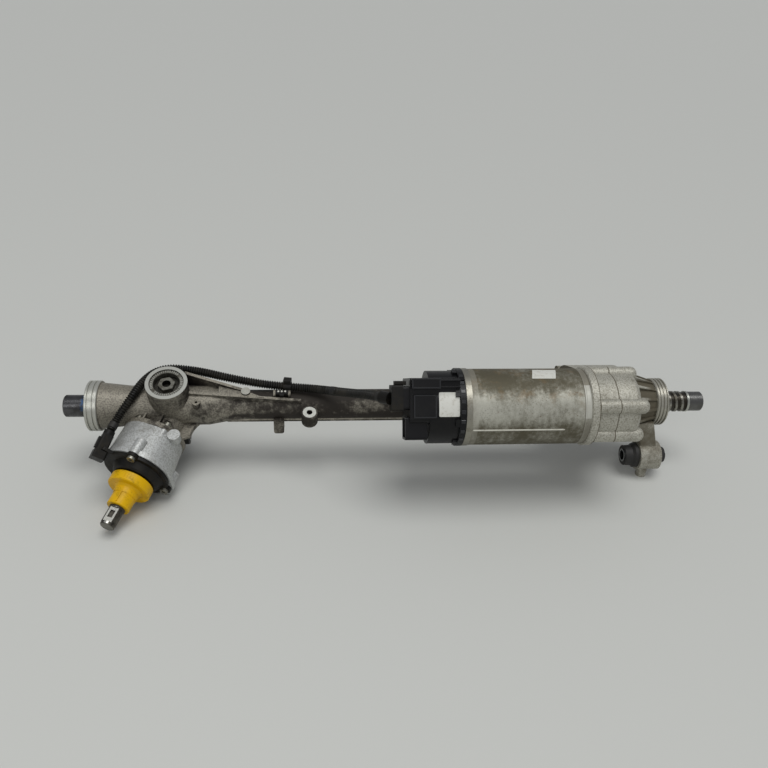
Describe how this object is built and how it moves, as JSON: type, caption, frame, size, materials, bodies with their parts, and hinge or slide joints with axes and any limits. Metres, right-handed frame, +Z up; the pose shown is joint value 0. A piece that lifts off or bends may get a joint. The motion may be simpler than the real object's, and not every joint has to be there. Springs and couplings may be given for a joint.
{
  "type": "steering rack",
  "caption": "Electric power steering rack: a toothed bar in a cast housing, a column pinion with torque sensor, and a motor that drives the bar by belt and ball nut",
  "frame": {"origin": "middle of the rack bar's travel, on the bar's own axis", "axes": "+X along the rack bar towards the ball-nut end, +Y away from the motor, +Z up; the unit lies on its two mounting eyes and the sensor housing at z = -0.085 m"},
  "size_m": [0.791, 0.1959, 0.1763],
  "materials": {
    "cast_housing": "rough sand-coloured cast aluminium, dirty",
    "case_casting": "rough cast aluminium, stained",
    "sensor_casting": "fine-grained bright cast aluminium",
    "machined_aluminium": "turned aluminium",
    "motor_can": "satin aluminium can with stains",
    "bar_steel": "ground and hardened steel",
    "shaft_steel": "dark phosphated steel",
    "bearing_steel": "polished bearing steel",
    "zinc_plated_steel": "zinc-plated",
    "lamination_steel": "stacked lamination steel",
    "magnet": "coated magnet",
    "copper_winding": "enamelled copper wire",
    "black_plastic": "moulded black plastic",
    "conduit_plastic": "corrugated black conduit",
    "yellow_plastic": "moulded yellow plastic",
    "bush_rubber": "black rubber",
    "seal_rubber": "dark red-brown rubber",
    "belt_rubber": "toothed belt rubber",
    "sliding_plastic": "low-friction plastic",
    "tinned_contact": "tinned copper contact",
    "board": "green circuit board",
    "capacitor_can": "sleeved capacitor"
  },
  "bodies": {
    "housing": {"rack_housing": "cast_housing", "gear_housing": "case_casting", "gear_cover": "case_casting", "yoke": "machined_aluminium", "yoke_liner": "sliding_plastic", "yoke_spring": "zinc_plated_steel", "yoke_plug": "machined_aluminium", "rack_bush": "sliding_plastic", "end_stops": "bush_rubber", "pinion_bearing_outer": "bearing_steel", "bearing_retainer": "machined_aluminium", "needle_cup": "bearing_steel", "needle_rollers": "bearing_steel", "sensor_housing": "sensor_casting", "sensor_cover": "black_plastic", "cover_screws": "zinc_plated_steel", "tower_screws": "zinc_plated_steel", "shaft_seal": "seal_rubber", "sensor_plug": "black_plastic", "case_bolts": "zinc_plated_steel", "tube_bolts": "zinc_plated_steel", "motor_screws": "zinc_plated_steel", "vent_plug": "black_plastic", "nut_bearing_outer": "bearing_steel", "bearing_ring": "bearing_steel", "motor_flange": "case_casting", "motor_housing": "motor_can", "rear_plate": "machined_aluminium", "motor_bearings": "bearing_steel", "stator_core": "lamination_steel", "windings": "copper_winding", "ecu_cover": "black_plastic", "ecu_pins": "tinned_contact", "circuit_board": "board", "capacitors": "capacitor_can", "heat_sink": "machined_aluminium", "bush_sleeves": "zinc_plated_steel", "bush_rubbers": "bush_rubber", "harness_conduit": "conduit_plastic", "harness_plug": "black_plastic", "harness_clip": "black_plastic", "drive_belt": "belt_rubber"},
    "rack": {"rack_bar": "bar_steel"},
    "pinion": {"pinion_shaft": "bar_steel", "pinion_bearing_inner": "bearing_steel", "pinion_nut": "bearing_steel", "flux_rings": "lamination_steel", "torsion_bar": "bar_steel"},
    "input": {"input_shaft": "shaft_steel", "index_collar": "yellow_plastic", "sensor_magnet": "magnet"},
    "nut": {"ball_nut": "bar_steel", "nut_pulley": "bearing_steel", "nut_bearing_inner": "bearing_steel", "lock_nut": "bearing_steel"},
    "rotor": {"motor_shaft": "shaft_steel", "motor_pulley": "bearing_steel", "rotor_core": "lamination_steel", "rotor_magnets": "magnet"}
  },
  "joints": [
    {"name": "motor_spin", "type": "hinge", "parent": "housing", "child": "rotor", "pos_m": [0.15, -0.06875, 0.03953], "axis": [1, 0, 0], "range_deg": [-8095, 8095], "deforming": ["drive_belt"]},
    {"name": "nut_spin", "type": "hinge", "parent": "housing", "child": "nut", "pos_m": [0.26, 0, 0], "axis": [1, 0, 0], "range_deg": [-3375, 3375]},
    {"name": "rack_slide", "type": "slide", "parent": "housing", "child": "rack", "axis": [1, 0, 0], "range_m": [-0.075, 0.075]},
    {"name": "pinion_spin", "type": "hinge", "parent": "housing", "child": "pinion", "pos_m": [-0.2715, 0.00593, -0.01629], "axis": [-0.342, -0.883, -0.3214], "range_deg": [-481, 481]},
    {"name": "input_twist", "type": "hinge", "parent": "pinion", "child": "input", "pos_m": [-0.29202, -0.04705, -0.03557], "axis": [-0.342, -0.883, -0.3214], "range_deg": [-4, 4], "stiffness_Nm_per_rad": 86, "deforming": ["torsion_bar"]}
  ],
  "couplings": [
    {"joint": "nut_spin", "follows": "motor_spin", "ratio": 0.41667},
    {"joint": "rack_slide", "follows": "motor_spin", "m_per_rad": -0.00053052},
    {"joint": "pinion_spin", "follows": "motor_spin", "ratio": 0.059348}
  ]
}
